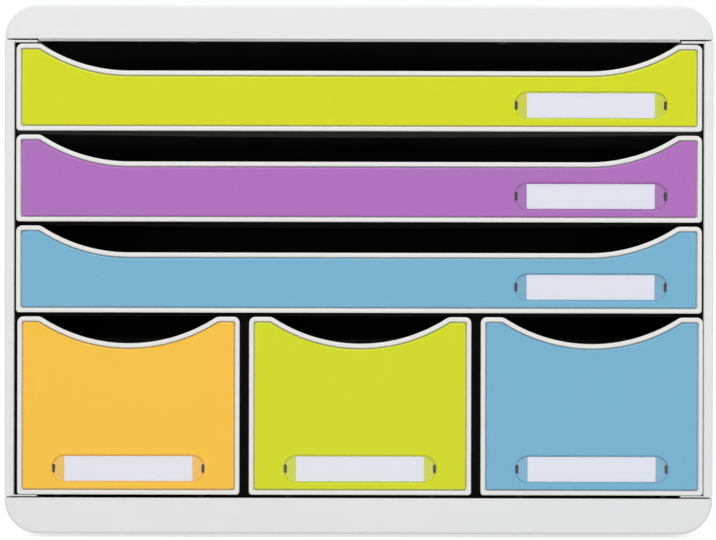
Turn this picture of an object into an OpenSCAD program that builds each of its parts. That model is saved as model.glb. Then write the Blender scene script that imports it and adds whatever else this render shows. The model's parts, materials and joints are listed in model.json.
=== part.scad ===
// Desktop drawer unit: three wide shallow drawers above a row of three small deep ones.
// Millimetres. X runs along the front, Y from the front to the back, Z up.
// The origin is on the ground, under the middle of the casing. Drawers slide out along -Y.

/* [Casing] */
// Width over the two side panels
case_w = 355; // [335:1:420]
// Depth from the front edges to the back
case_d = 270; // [245:1:330]
// Height of the top cover
cover_h = 17.8; // [16:0.1:30]
// Height of the base cover
base_h = 17.9; // [16:0.1:30]
// Radius of the covers' long outer corners
corner_r = 15; // [6:0.5:15.5]
// Wall of the two covers
shell_t = 2.5; // [1.8:0.1:3.5]
// Ribs inside each cover
cover_ribs = 4; // [2:1:8]
// Width of a side panel's front edge
side_w = 4.6; // [4.2:0.1:8]
// Wall of a side panel behind its edges
side_skin = 2.2; // [1.5:0.1:3]
// Depth of a side panel's edges, all round
side_edge = 8; // [5:0.5:15]
// Length of the side panels' turned-in flanges
flange_l = 11.5; // [6:0.5:14]
// Thickness of those flanges
flange_t = 1; // [0.8:0.1:2]
// How far those flanges sit behind the panels' front edges
flange_set = 1; // [0.5:0.5:4]
// Thickness of the back panel
back_t = 2; // [1.5:0.1:4]
// How far the back panel sits inside the casing's back
back_recess = 4; // [3:0.5:10]
// Height and width of the back panel's ribs
back_rib = 2; // [1:0.5:2.5]

/* [Lugs and feet] */
// Place of the top deck's left lug, which hangs under the cover's front edge
left_lug_x = -84; // [-120:1:-20]
// Place of the right lug
right_lug_x = 72; // [20:1:120]
// Width of a lug
lug_w = 7.5; // [4:0.5:12]
// How far a lug hangs below the deck and the cover
lug_h = 1.5; // [0.8:0.1:1.6]
// Thickness of a lug, front to back
lug_t = 1.4; // [1:0.1:2.5]
// Radius of a rubber foot
foot_r = 9; // [6:0.5:14]
// How far a foot stands out under the base
foot_h = 2; // [1:0.5:6]
// How deep a foot sits in its recess
foot_sink = 1; // [0.5:0.1:1.5]
// From a foot's centre to the casing's sides
foot_side = 45; // [35:1:80]
// From a foot's centre to the casing's front and back
foot_end = 42; // [35:1:80]

/* [Decks, shelves and dividers] */
// Thickness of the top deck and the floor deck
deck_t = 1.5; // [1:0.1:2]
// Thickness of a shelf
shelf_t = 1.5; // [1.2:0.1:2.5]
// How far a shelf's front edge bows down in the middle
shelf_bow = 1.3; // [0.5:0.1:4]
// Width of that bow
bow_w = 300; // [200:5:320]
// Depth of the bowed lip, front to back
bow_t = 2; // [1:0.5:4]
// Thickness of the black side liners
liner_t = 2; // [1.8:0.1:3]
// Depth of the liners' shelf grooves
groove_d = 1; // [0.6:0.1:1.4]
// Wall of the hollow dividers
divider_wall = 1.6; // [1.2:0.1:2]
// Closed front length of a divider, in front of its hollow
divider_nose = 8; // [4:1:20]
// Width of the runner ribs on the floor deck
runner_w = 3; // [2:0.5:6]
// From a small drawer's middle to its runner ribs
runner_x = 36; // [20:1:38]

/* [Drawer fronts] */
// Height of a wide drawer's front
wide_h = 43.5; // [40:0.5:70]
// Height of a small drawer's front
small_h = 89.2; // [70:0.1:130]
// Gap between a front and the side panel
side_gap = 1; // [0.5:0.1:1.5]
// How far the small drawers sit to the right in that gap, as a share of it
small_lean = 0.7; // [0:0.05:0.8]
// Gap between two small fronts
small_gap = 4.8; // [4:0.1:8]
// How far the fronts sit behind the casing's front
front_recess = 1; // [0.5:0.1:4]
// Width of the rim round a coloured panel
rim_w = 2.4; // [1.6:0.1:4]
// How far the rim stands out of the front wall
rim_d = 2.2; // [1.9:0.1:4]
// Radius of the rim's upper corners
top_corner_r = 3; // [1:0.5:5]
// Radius of the rim's lower corners
low_corner_r = 1.5; // [0.5:0.5:4]
// Depth of the finger notch
notch_depth = 13.4; // [8:0.1:16]
// Radius of the notch's arcs
notch_r = 80; // [60:1:90]
// From a wide front's end to the level part of its notch
notch_shoulder = 56.4; // [54:0.1:80]
// Radius between the notch and the ears beside it
ear_r = 5; // [3:0.5:6]

/* [Drawer trays] */
// Thickness of the front wall
front_t = 2; // [1.5:0.1:3]
// Thickness of the side walls and the back wall
tray_t = 1.8; // [1.2:0.1:3]
// Thickness of the tray's floor
tray_floor = 1.8; // [1.2:0.1:3]
// Radius of the tray's rear corners
tray_r = 6; // [4:0.5:15]
// How far the tray's walls end below the notch
wall_drop = 2; // [1:0.5:8]
// Radius of the ramps that join the side walls to the front
gusset_r = 9; // [4:0.5:9]
// Gap between a tray and the liner or divider beside it
tray_play = 2.2; // [1.8:0.1:3]
// Gap between a closed tray and the back panel
rear_gap = 3; // [1:0.5:10]

/* [Travel and running gaps] */
// How far a drawer slides out before it meets its stop
travel = 200; // [120:1:205]
// How far the stops reach past each other
stop_bite = 0.7; // [0.4:0.1:1]
// Thickness of a stop, front to back
stop_t = 3; // [2:0.5:5]
// From a liner's front edge to its stops
stop_set = 8; // [4:1:12]
// From a tray's underside to the lower end of its tabs
tab_low = 4.8; // [3.5:0.1:8]
// From the upper edge of a tray's walls down to its tabs
tab_high = 4; // [2:0.5:8]
// Gap left between two stops at full travel
stop_gap = 0.3; // [0.1:0.1:1]
// Gap under a drawer
glide_gap = 0.3; // [0.2:0.1:0.6]
// Gap over a drawer's front
head_gap = 0.3; // [0.2:0.1:1]
// Gap between the upper front and the side panels' flanges
flange_gap = 0.7; // [0.3:0.1:2]
// Gap between a closed front and the liners, shelves and dividers behind it
seat_gap = 0.3; // [0.1:0.1:1]
// Gap round the decks in the covers
deck_fit = 0.2; // [0.1:0.1:0.5]

/* [Coloured panels and labels] */
// Thickness of a coloured panel
panel_t = 1.8; // [1.4:0.1:1.9]
// Gap between a panel and its rim
panel_gap = 0.3; // [0.1:0.1:0.6]
// Length of the label pocket
pocket_l = 77; // [60:1:84]
// Height of the label pocket
pocket_h = 14; // [10:0.5:15]
// Depth of the label pocket
pocket_d = 1.2; // [1:0.1:1.3]
// From a front's lower edge to the middle of its label
label_z = 13; // [11:0.5:14]
// Length of the label card
card_l = 64.2; // [40:0.1:66]
// Height of the label card
card_h = 12.4; // [8:0.1:13]
// Thickness of the label card
card_t = 0.25; // [0.15:0.05:0.3]
// Thickness of the clear window
window_t = 0.7; // [0.5:0.05:0.7]
// Gap between the window and its pocket
window_gap = 0.3; // [0.1:0.1:0.6]
// Length of a hook slot, up and down
slot_h = 4.4; // [3:0.1:5]
// From a slot's outer side to the pocket's end
slot_inset = 0.35; // [0.2:0.05:1]
// Thickness of a window hook
hook_t = 0.8; // [0.5:0.1:1]
// How far a hook's barb reaches out
barb = 0.4; // [0.3:0.05:0.6]
// Gap on each side of a hook in its slot
hook_gap = 0.15; // [0.05:0.05:0.25]
// Gap between a barb and the back of the front wall
barb_gap = 0.1; // [0.05:0.05:0.3]
// Radius of the pegs on a panel's back
peg_r = 1.5; // [1:0.1:1.8]
// Gap round a peg in its hole
peg_gap = 0.1; // [0.05:0.05:0.2]
// From the label pocket to a small panel's lower pegs
peg_above = 3.5; // [2.5:0.1:10]
// From a peg to the notched edge of its panel
peg_edge = 1.5; // [1:0.1:2.5]
// From a front's middle to a wide panel's inner pegs
wide_peg_in = 50; // [30:1:60]
// From a front's middle to a wide panel's outer pegs
wide_peg_out = 150; // [120:1:155]
// From a front's middle to a small panel's pegs
small_peg_x = 40; // [20:1:45]

/* [Hidden] */
$fn = 96;
// How far joined shapes reach into each other, and how far a cut runs past a face
eps = 0.01;
past = 1;
// Least radius of an outline's corner that is drawn in
least_r = 1;
WIDE = 3;
SMALL = 3;

light_grey = "#e3e6e7";
black = "#1c1c1d";
rubber_grey = "#3a3a3c";
clear = [0.9, 0.95, 1, 0.35];
card_white = "#e6e8f0";
wide_colours = ["#d4da2b", "#b073bc", "#7cb4d1"];
small_colours = ["#f7c451", "#d4da32", "#7fb5d3"];

// Heights, from the ground up
base_z = foot_h;
deck_z = base_z + base_h;
runner_h = flange_t + glide_gap;
small_z = deck_z + runner_h + glide_gap;
shelf_step = head_gap + shelf_t + glide_gap;
// Lower edge of each wide front, the top drawer first
wide_zs = [for (i = [0:WIDE - 1]) small_z + small_h + shelf_step
    + (WIDE - 1 - i) * (wide_h + shelf_step)];
shelf_zs = [for (z = wide_zs) z - glide_gap - shelf_t];
lower_shelf_z = shelf_zs[WIDE - 1];
cover_z = wide_zs[0] + wide_h + flange_gap + flange_t;
case_top = cover_z + cover_h;

// Across the front
half_w = case_w / 2;
inner_half = half_w - side_w;
wide_w = 2 * (inner_half - side_gap);
small_w = (wide_w - (SMALL - 1) * small_gap) / SMALL;
small_pitch = small_w + small_gap;
small_shift = small_lean * side_gap;
small_xs = [for (i = [0:SMALL - 1]) small_shift + (i - (SMALL - 1) / 2) * small_pitch];
divider_xs = [for (i = [0:SMALL - 2]) (small_xs[i] + small_xs[i + 1]) / 2];
liner_half = inner_half - liner_t;
front_lip = liner_t + tray_play - side_gap;
divider_t = small_gap + 2 * (front_lip - tray_play);
// A tab's reach leaves the same gap to the nearest wall as the stop on that wall leaves to the tray
tab_out = (tray_play - small_shift + stop_bite) / 2;

// From the front to the back
front_y = -case_d / 2;
rear_y = case_d / 2;
rim_y = front_y + front_recess;
wall_y = rim_y + rim_d;
wall_back_y = wall_y + front_t;
inside_y = wall_back_y + seat_gap;
back_y = rear_y - back_recess - back_t;
tray_rear_y = back_y - rear_gap;
stop_y = inside_y + stop_set;
tab_y = stop_y + stop_t + stop_gap + travel;

// Labels and pegs
wide_label_x = small_pitch * (SMALL - 1) / 2;
pocket_floor_y = wall_y - panel_t + pocket_d;
window_y = pocket_floor_y - card_t - window_t;
slot_w = hook_t + barb + 2 * hook_gap;
slot_x = pocket_l / 2 - slot_inset - slot_w / 2;
panel_inset = rim_w + panel_gap;
notch_to_peg = notch_depth + panel_inset + peg_edge + peg_r;
wide_peg_xs = [-wide_peg_out, -wide_peg_in, wide_peg_in, wide_peg_out];
small_peg_zs = [label_z + pocket_h / 2 + peg_above, small_h - notch_to_peg];
wide_pegs = [for (x = wide_peg_xs) [x, wide_h - notch_to_peg]];
small_pegs = [for (x = [-small_peg_x, small_peg_x], z = small_peg_zs) [x, z]];

// Each kind of drawer: width, height, half the level part of its notch, label's place, pegs
W = 0;
H = 1;
LEVEL = 2;
LABEL = 3;
PEGS = 4;
wide_kind = [wide_w, wide_h, wide_w / 2 - notch_shoulder, wide_label_x, wide_pegs];
small_kind = [small_w, small_h, 0, 0, small_pegs];

function wall_h(kind) = kind[H] - notch_depth - wall_drop;
function tray_half(kind) = kind[W] / 2 - front_lip;
// A stop and the tab that meets it share one stretch of the drawer's height
function stop_high(kind) = wall_h(kind) - tab_high;
// How far a stop reaches out of a wall that is this far from the tray
function stop_out(play) = play + stop_bite - tab_out;

wide_names = [for (i = [1:WIDE]) str("wide_", i)];
small_names = [for (i = [1:SMALL]) str("small_", i)];

// ---- Shared shapes ----

// A box from one corner to the other
module span(from, to) {
    translate(from) cube(to - from);
}

// A flat outline, drawn as X and Z, made depth thick from y back
module upright(y, depth) {
    translate([0, y + depth, 0]) rotate([90, 0, 0]) linear_extrude(depth) children();
}

// A bar with both ends fully round
module stadium(length, height) {
    square([length - height, height], center = true);
    for (x = [-1, 1] * (length - height) / 2) translate([x, 0]) circle(d = height);
}

// A rectangle from [-half, low] to [half, high] with its own radius below and above
module soft_box(half, low, high, r_low, r_high) {
    translate([-half, low + r_low]) square([2 * half, high - low - r_low - r_high]);
    translate([-half + r_low, low]) square([2 * (half - r_low), r_low + eps]);
    translate([-half + r_high, high - r_high - eps]) square([2 * (half - r_high), r_high + eps]);
    for (s = [-1, 1]) {
        translate([s * (half - r_low), low + r_low]) circle(r_low);
        translate([s * (half - r_high), high - r_high]) circle(r_high);
    }
}

// A drawer's front outline, drawn in by inset all round. The notch is one arc, or two arcs
// joined by a level stretch, and a small arc rounds each ear where the notch begins. The arcs
// reach a hair past each other and past the level stretch, so that the lines cross cleanly.
module front_outline(kind, inset) {
    half = kind[W] / 2 - inset;
    top = kind[H] - inset;
    big_r = notch_r + inset;
    small_r = ear_r - inset;
    big_z = top - notch_depth + big_r;
    ear_z = top - small_r;
    ear_dx = sqrt(pow(big_r + small_r, 2) - pow(big_z - ear_z, 2));
    share = big_r / (big_r + small_r);
    touch = [ear_dx * share, big_z + (ear_z - big_z) * share];
    hair = eps / (big_r + small_r);
    difference() {
        soft_box(half, inset, top, max(low_corner_r - inset, least_r), max(top_corner_r - inset, least_r));
        difference() {
            union() {
                if (kind[LEVEL] > 0)
                    translate([-kind[LEVEL], top - notch_depth + eps])
                        square([2 * kind[LEVEL], notch_depth + past]);
                for (s = [-1, 1]) {
                    translate([s * kind[LEVEL], big_z]) circle(big_r, $fn = 360);
                    polygon([
                        [s * (kind[LEVEL] + touch[0]), touch[1]],
                        [s * (kind[LEVEL] + ear_dx), top],
                        [s * (kind[LEVEL] + ear_dx), top + past],
                        [s * (kind[LEVEL] + touch[0]), top + past]
                    ]);
                }
            }
            for (s = [-1, 1])
                translate([s * (kind[LEVEL] + ear_dx * (1 - hair)), ear_z + (big_z - ear_z) * hair])
                    circle(small_r);
        }
    }
}

// ---- Casing ----

// A cover's section: two large round corners above, drawn in by inset, and cut off at low
module cover_section(height, inset, low) {
    r = corner_r - inset;
    half = half_w - inset;
    intersection() {
        translate([-half, low]) square([2 * half, height - inset - low]);
        union() {
            translate([-half, low]) square([2 * half, height - inset - r - low]);
            translate([-half + r, low]) square([2 * (half - r), height - inset - low]);
            for (s = [-1, 1]) translate([s * (half - r), height - inset - r]) circle(r);
        }
    }
}

// A hollow cover with its open side down and its rib ends resting on the deck inside it
module cover_shell(height) {
    rib_pitch = (case_w - 2 * corner_r) / (cover_ribs + 1);
    difference() {
        upright(front_y, case_d) cover_section(height, 0, 0);
        upright(front_y + shell_t, case_d - 2 * shell_t) cover_section(height, shell_t, -past);
    }
    for (i = [1:cover_ribs])
        translate([-half_w + corner_r + i * rib_pitch - shell_t / 2, front_y + shell_t - eps, deck_t])
            cube([shell_t, case_d - 2 * shell_t + 2 * eps, height - deck_t - shell_t + eps]);
}

module top_cover() {
    color(light_grey) translate([0, 0, cover_z]) cover_shell(cover_h);
}

// The places of the four feet
module at_foot(side, end) {
    translate([side * (half_w - foot_side), end * (case_d / 2 - foot_end), 0]) children();
}

module base_cover() {
    color(light_grey) difference() {
        translate([0, 0, deck_z]) mirror([0, 0, 1]) cover_shell(base_h);
        for (side = [-1, 1], end = [-1, 1])
            at_foot(side, end) cylinder(r = foot_r, h = base_z + foot_sink);
    }
}

module foot(side, end) {
    color(rubber_grey) at_foot(side, end) cylinder(r = foot_r, h = base_z + foot_sink);
}

// A panel on the side given by s, -1 for the left: a skin with a deep edge all round and two
// flanges turned in, one over the drawers and one under them
module side_panel(s) {
    flange_x = inner_half - flange_l;
    color(light_grey) on_side(s) {
        difference() {
            span([inner_half, front_y, deck_z], [half_w, rear_y, cover_z]);
            span(
                [inner_half - past, front_y + side_edge, deck_z + side_edge],
                [half_w - side_skin, rear_y - side_edge, cover_z - side_edge]
            );
        }
        for (z = [deck_z, cover_z - flange_t])
            span([flange_x, front_y + flange_set, z], [inner_half + eps, back_y, z + flange_t]);
    }
}

// Draws a right-hand piece, or its mirror image on the left
module on_side(s) {
    if (s > 0) children();
    else mirror([1, 0, 0]) children();
}

module back_panel() {
    rib_xs = concat(divider_xs, [-inner_half + back_rib, inner_half - back_rib]);
    color(black) {
        span([-inner_half, back_y, deck_z], [inner_half, back_y + back_t, cover_z]);
        for (x = rib_xs)
            span(
                [x - back_rib / 2, back_y + back_t - eps, deck_z],
                [x + back_rib / 2, back_y + back_t + back_rib, cover_z]
            );
        for (z = shelf_zs)
            span(
                [-inner_half, back_y + back_t - eps, z],
                [inner_half, back_y + back_t + back_rib, z + back_rib]
            );
    }
}

// ---- Black interior ----

// A stop for one kind of drawer on a wall at x, reaching out to the side given by s towards a
// tray that is this far away
module stop_rib(x, s, kind, z, play) {
    tip = x + s * stop_out(play);
    span(
        [min(x - s * eps, tip), stop_y, z + tab_low],
        [max(x - s * eps, tip), stop_y + stop_t, z + stop_high(kind)]
    );
}

module liner(s) {
    color(black) on_side(s) {
        difference() {
            span(
                [liner_half, inside_y, deck_z + flange_t],
                [inner_half, back_y, cover_z - flange_t]
            );
            for (z = shelf_zs)
                span(
                    [liner_half - past, inside_y - past, z],
                    [liner_half + groove_d, back_y + past, z + shelf_t]
                );
        }
        for (z = wide_zs) stop_rib(liner_half, -1, wide_kind, z, tray_play);
        stop_rib(liner_half, -1, small_kind, small_z, tray_play - s * small_shift);
    }
}

// A plate held in the liners' grooves. The upper two have a lip that bows down in the middle;
// the lower one is plain, because the dividers stand under it.
module shelf(z, bowed) {
    reach = liner_half + groove_d;
    bow_r = (pow(bow_w / 2, 2) + pow(shelf_bow, 2)) / (2 * shelf_bow);
    steps = 24;
    color(black) {
        span([-reach, inside_y, z], [reach, back_y, z + shelf_t]);
        if (bowed) upright(inside_y, bow_t) polygon([
            for (i = [0:steps]) let (x = bow_w * (i / steps - 0.5))
                [x, z - shelf_bow + bow_r - sqrt(bow_r * bow_r - x * x)],
            [bow_w / 2, z + eps],
            [-bow_w / 2, z + eps]
        ]);
    }
}

// A plate inside a cover, lying on the side panels' flanges
module deck_plate(z) {
    half = half_w - shell_t - deck_fit;
    deep = case_d / 2 - shell_t - deck_fit;
    span([-half, -deep, z], [half, deep, z + deck_t]);
}

// A half-round lug: the part of a disc that hangs below the deck at its front edge
module lug(x) {
    lug_r = (pow(lug_w / 2, 2) + pow(lug_h, 2)) / (2 * lug_h);
    upright(front_y + shell_t + deck_fit, lug_t) intersection() {
        translate([x, cover_z - lug_h + lug_r]) circle(lug_r);
        translate([x - lug_w, cover_z - lug_h]) square([2 * lug_w, lug_h + eps]);
    }
}

module top_deck() {
    color(black) {
        deck_plate(cover_z);
        lug(left_lug_x);
        lug(right_lug_x);
    }
}

module floor_deck() {
    color(black) {
        deck_plate(deck_z - deck_t);
        for (x = small_xs, s = [-1, 1])
            span(
                [x + s * runner_x - runner_w / 2, inside_y, deck_z - eps],
                [x + s * runner_x + runner_w / 2, back_y, deck_z + runner_h]
            );
    }
}

// A hollow upright wall, open at its back, with a stop on each face
module divider(x) {
    core = divider_t / 2 - divider_wall;
    color(black) {
        difference() {
            span(
                [x - divider_t / 2, inside_y, deck_z],
                [x + divider_t / 2, back_y, lower_shelf_z]
            );
            span(
                [x - core, inside_y + divider_nose, deck_z + divider_wall],
                [x + core, back_y + past, lower_shelf_z - divider_wall]
            );
        }
        for (s = [-1, 1]) stop_rib(x + s * divider_t / 2, s, small_kind, small_z, tray_play);
    }
}

// ---- Drawers ----

// Seen from above: straight at the front, round at the two rear corners
module tray_plan(half, front, rear, r) {
    translate([-half, front]) square([2 * half, rear - r - front]);
    translate([-half + r, front]) square([2 * (half - r), rear - front]);
    for (s = [-1, 1]) translate([s * (half - r), rear - r]) circle(r);
}

// The ramp between a side wall and the front's ear, hollowed by an arc
module gusset(kind) {
    low = wall_h(kind) - eps;
    for (s = [-1, 1])
        translate([s * (tray_half(kind) - tray_t / 2), wall_back_y, low]) difference() {
            translate([-tray_t / 2, 0, 0]) cube([tray_t, gusset_r, gusset_r]);
            translate([-tray_t, gusset_r, gusset_r]) rotate([0, 90, 0])
                cylinder(r = gusset_r, h = 2 * tray_t);
        }
}

// The two tabs that meet the stops when the drawer is out
module stop_tabs(kind) {
    half = tray_half(kind);
    for (s = [-1, 1])
        span(
            [min(s * (half - eps), s * (half + tab_out)), tab_y, tab_low],
            [max(s * (half - eps), s * (half + tab_out)), tab_y + stop_t, stop_high(kind)]
        );
}

module hook_slots(kind, y, depth) {
    upright(y, depth) for (s = [-1, 1])
        translate([kind[LABEL] + s * slot_x, label_z]) square([slot_w, slot_h], center = true);
}

// The box behind the front. The front closes its open side.
module tray(kind) {
    half = tray_half(kind);
    high = wall_h(kind);
    color(light_grey) {
        difference() {
            linear_extrude(high) tray_plan(half, wall_back_y, tray_rear_y, tray_r);
            translate([0, 0, tray_floor]) linear_extrude(high)
                tray_plan(half - tray_t, wall_back_y - past, tray_rear_y - tray_t, tray_r - tray_t);
        }
        gusset(kind);
        stop_tabs(kind);
    }
}

// A wall with a rim round its face, and the slots and holes that hold the window and the panel
module front(kind) {
    color(light_grey) difference() {
        union() {
            upright(wall_y, front_t) front_outline(kind, 0);
            upright(rim_y, rim_d + eps) difference() {
                front_outline(kind, 0);
                front_outline(kind, rim_w);
            }
        }
        hook_slots(kind, wall_y - past, front_t + 2 * past);
        for (p = kind[PEGS]) translate([p[0], wall_y - past, p[1]]) rotate([-90, 0, 0])
            cylinder(r = peg_r + peg_gap, h = front_t + 2 * past);
    }
}

module panel(kind, colour) {
    color(colour) {
        difference() {
            upright(wall_y - panel_t, panel_t) front_outline(kind, panel_inset);
            upright(wall_y - panel_t - past, pocket_d + past)
                translate([kind[LABEL], label_z]) stadium(pocket_l, pocket_h);
            hook_slots(kind, wall_y - panel_t, panel_t + past);
        }
        for (p = kind[PEGS]) translate([p[0], wall_y - eps, p[1]]) rotate([-90, 0, 0])
            cylinder(r = peg_r, h = front_t + eps);
    }
}

// A clear cover with a hook behind each end, whose barb catches behind the front wall
module window(kind) {
    back = window_y + window_t;
    catch_y = wall_back_y + barb_gap;
    hook_end = catch_y + 2 * barb;
    hook_x = slot_x + slot_w / 2 - hook_gap;
    hook_h = slot_h - 2 * window_gap;
    color(clear) translate([kind[LABEL], 0, label_z]) {
        upright(window_y, window_t)
            stadium(pocket_l - 2 * window_gap, pocket_h - 2 * window_gap);
        on_both_sides() translate([0, 0, -hook_h / 2]) {
            span([hook_x - hook_t, back - eps, 0], [hook_x, hook_end, hook_h]);
            linear_extrude(hook_h)
                polygon([[hook_x - eps, catch_y], [hook_x + barb, catch_y], [hook_x - eps, hook_end]]);
        }
    }
}

// Draws a right-hand shape and its mirror image
module on_both_sides() {
    for (s = [-1, 1]) on_side(s) children();
}

module card(kind) {
    color(card_white) upright(pocket_floor_y - card_t, card_t)
        translate([kind[LABEL], label_z]) square([card_l, card_h], center = true);
}

// One piece of one drawer, in its place
module drawer_piece(kind, name, x, z, colour) {
    translate([x, 0, z]) {
        tray(kind);
        front(kind);
        panel(kind, colour);
        window(kind);
        card(kind);
    }
}

top_cover();
base_cover();
side_panel(-1);  // left_side_panel
side_panel(1);  // right_side_panel
back_panel();
liner(-1);  // left_liner
liner(1);  // right_liner
top_deck();
floor_deck();
shelf(shelf_zs[0], true);  // upper_shelf
shelf(shelf_zs[1], true);  // middle_shelf
shelf(shelf_zs[2], false);  // lower_shelf
divider(divider_xs[0]);  // left_divider
divider(divider_xs[1]);  // right_divider
foot(-1, -1);  // front_left_foot
foot(1, -1);  // front_right_foot
foot(-1, 1);  // rear_left_foot
foot(1, 1);  // rear_right_foot
for (i = [0:WIDE - 1]) drawer_piece(wide_kind, wide_names[i], 0, wide_zs[i], wide_colours[i]);
for (i = [0:SMALL - 1])
    drawer_piece(small_kind, small_names[i], small_xs[i], small_z, small_colours[i]);
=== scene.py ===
# %% [markdown]
# # A desktop drawer unit in light-grey plastic
# The object is a casing of four light-grey mouldings round a black interior, with three wide
# drawers over three small ones. Each drawer is a grey tray whose rim frames a coloured panel,
# and each panel has a paper label under a clear window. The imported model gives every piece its
# place and size. This script dresses it: it models again the mouldings that show, with the soft
# edges that moulded plastic has, and gives every surface a material made from nodes.

# %% Load the frame
import json
from math import asin, atan2, cos, degrees, pi, radians, sin, sqrt

import bmesh
import bpy
from mathutils import Matrix, Vector


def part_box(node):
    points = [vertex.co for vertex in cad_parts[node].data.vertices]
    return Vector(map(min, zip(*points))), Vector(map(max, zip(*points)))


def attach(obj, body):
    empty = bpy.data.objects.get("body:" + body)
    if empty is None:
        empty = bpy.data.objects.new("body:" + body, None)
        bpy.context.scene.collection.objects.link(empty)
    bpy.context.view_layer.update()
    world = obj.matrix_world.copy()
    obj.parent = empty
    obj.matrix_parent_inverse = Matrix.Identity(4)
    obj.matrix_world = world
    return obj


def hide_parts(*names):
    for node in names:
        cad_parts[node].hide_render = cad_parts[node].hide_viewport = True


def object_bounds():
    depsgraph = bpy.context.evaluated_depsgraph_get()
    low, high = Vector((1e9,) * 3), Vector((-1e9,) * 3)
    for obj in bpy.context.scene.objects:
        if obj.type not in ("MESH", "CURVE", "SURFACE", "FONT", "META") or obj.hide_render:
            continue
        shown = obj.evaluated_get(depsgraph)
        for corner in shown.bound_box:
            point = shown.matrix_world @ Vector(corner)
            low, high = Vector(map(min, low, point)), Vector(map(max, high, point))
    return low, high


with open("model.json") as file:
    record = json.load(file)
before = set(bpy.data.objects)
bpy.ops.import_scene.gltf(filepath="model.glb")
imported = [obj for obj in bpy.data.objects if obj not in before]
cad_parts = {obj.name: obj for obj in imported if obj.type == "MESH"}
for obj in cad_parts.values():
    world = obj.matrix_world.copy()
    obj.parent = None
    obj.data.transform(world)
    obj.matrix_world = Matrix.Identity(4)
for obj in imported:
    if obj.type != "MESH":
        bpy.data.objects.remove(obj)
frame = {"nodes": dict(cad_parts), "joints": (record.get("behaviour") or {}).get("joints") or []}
cad_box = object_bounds()
print("CAD box in mm:", [[round(v * 1000, 1) for v in corner] for corner in cad_box])

# %% [markdown]
# ## Sizes
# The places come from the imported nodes, so nothing is placed by eye. What a box can't tell,
# such as a radius or the width of a rim, is named here in metres. A view from the front shows
# edges above all, so many of these numbers are radii. Two values serve the script and not the
# object: a hair is an overlap or a gap too small to see, which keeps two faces out of one plane,
# and every cutter runs a little past what it cuts.

# %% Sizes that the boxes don't give
MM = 0.001
WIDE = ["wide_1", "wide_2", "wide_3"]
SMALL = ["small_1", "small_2", "small_3"]
CASING = "casing"
HAIR = 0.05 * MM
PAST = 1 * MM
BODY_OF = {name: name.replace("_", "_drawer_") for name in WIDE + SMALL}

CORNER_R = 17 * MM
SHELL_T = 2.5 * MM
COVER_RIBS = 4
SIDE_SKIN = 2.2 * MM
SIDE_EDGE = 8 * MM
FLANGE_L = 11.5 * MM
FLANGE_T = 1 * MM
PARTING_GAP = 0.78 * MM
PANEL_RISE = 0.07 * MM
PLATE_CORNER_R, FINE_EDGE_R = 0.5 * MM, 0.2 * MM

RIM_W = 2.2 * MM
RIM_D = 2.2 * MM
FRONT_T = 2 * MM
TRAY_T = 1.8 * MM
TRAY_R = 6 * MM
GUSSET_R = 9 * MM
TAB_OUT = 1.1 * MM
PANEL_INSET = 2.7 * MM
PANEL_T = 1.8 * MM

NOTCH_DEPTH = 13.4 * MM
NOTCH_R = 80 * MM
NOTCH_SHOULDER = 56.4 * MM
EAR_R = 5 * MM
TOP_CORNER_R = 3 * MM
LOW_CORNER_R = 1.5 * MM
LEAST_R = 1 * MM

# %% [markdown]
# ## A small kit of tools
# Almost every moulding here is a flat outline given depth, with its edges rounded. An edge is
# rounded by a few rings: each ring is the same outline, drawn in a little and moved a little.
# So one function makes a closed mesh from rings, and the rest of the script only says where
# the rings are. Edges made this way have an exact radius, and they can't fail as a bevel can.
# A bevel serves only where a cut leaves plain edges.

# %% A closed mesh from rings
def mesh_object(name, verts, faces=(), edges=()):
    """A new object at the origin, with its place in its mesh and its faces pointing outwards."""
    mesh = bpy.data.meshes.new(name)
    mesh.from_pydata(verts, edges, faces)
    face_outwards(mesh)
    obj = bpy.data.objects.new(name, mesh)
    bpy.context.scene.collection.objects.link(obj)
    return obj


def face_outwards(mesh):
    bm = bmesh.new()
    bm.from_mesh(mesh)
    bmesh.ops.recalc_face_normals(bm, faces=bm.faces)
    bm.to_mesh(mesh)
    bm.free()


def loft(name, rings):
    """Joins rings of equally many points, and closes the first and the last with a face."""
    count = len(rings[0])
    last = count * (len(rings) - 1)
    faces = [tuple(range(count)), tuple(range(last, last + count))]
    for start in range(0, last, count):
        for i in range(count):
            j = (i + 1) % count
            faces.append((start + i, start + j, start + count + j, start + count + i))
    return mesh_object(name, [point for ring in rings for point in ring], faces)


# %% Rounded edges
EDGE_STEPS = 4


def turns(r, steps=EDGE_STEPS):
    """Angles of a quarter round, or a single one where there is no radius."""
    return [pi / 2 * i / steps for i in range(steps + 1)] if r else [0]


def soft_steps(depth, front_r, back_r):
    """Pairs of inset and depth that round the front edge and the back edge of a plate."""
    front = [(front_r * (1 - sin(a)), front_r * (1 - cos(a))) for a in turns(front_r)]
    back = [(back_r * (1 - cos(a)), depth - back_r * (1 - sin(a))) for a in turns(back_r)]
    return front + back


def facing_front(y):
    """Places an outline of X and Z, whose depth runs back from y."""
    return lambda u, v, depth: (u, y + depth, v)


def facing_side(x, side):
    """Places an outline of Y and Z, whose depth runs from x towards the middle."""
    return lambda u, v, depth: (x - side * depth, u, v)


def facing_up(z):
    """Places an outline of X and Y, whose depth runs down from z."""
    return lambda u, v, depth: (u, v, z - depth)


def plate(name, outline, place, depth, front_r, back_r):
    """A closed plate with soft edges. outline(inset) gives the points of one ring."""
    steps = soft_steps(depth, front_r, back_r)
    return loft(name, [[place(u, v, d) for u, v in outline(inset)] for inset, d in steps])


# %% Joining and cutting closed shapes
BEVEL_STEPS = 3


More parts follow.
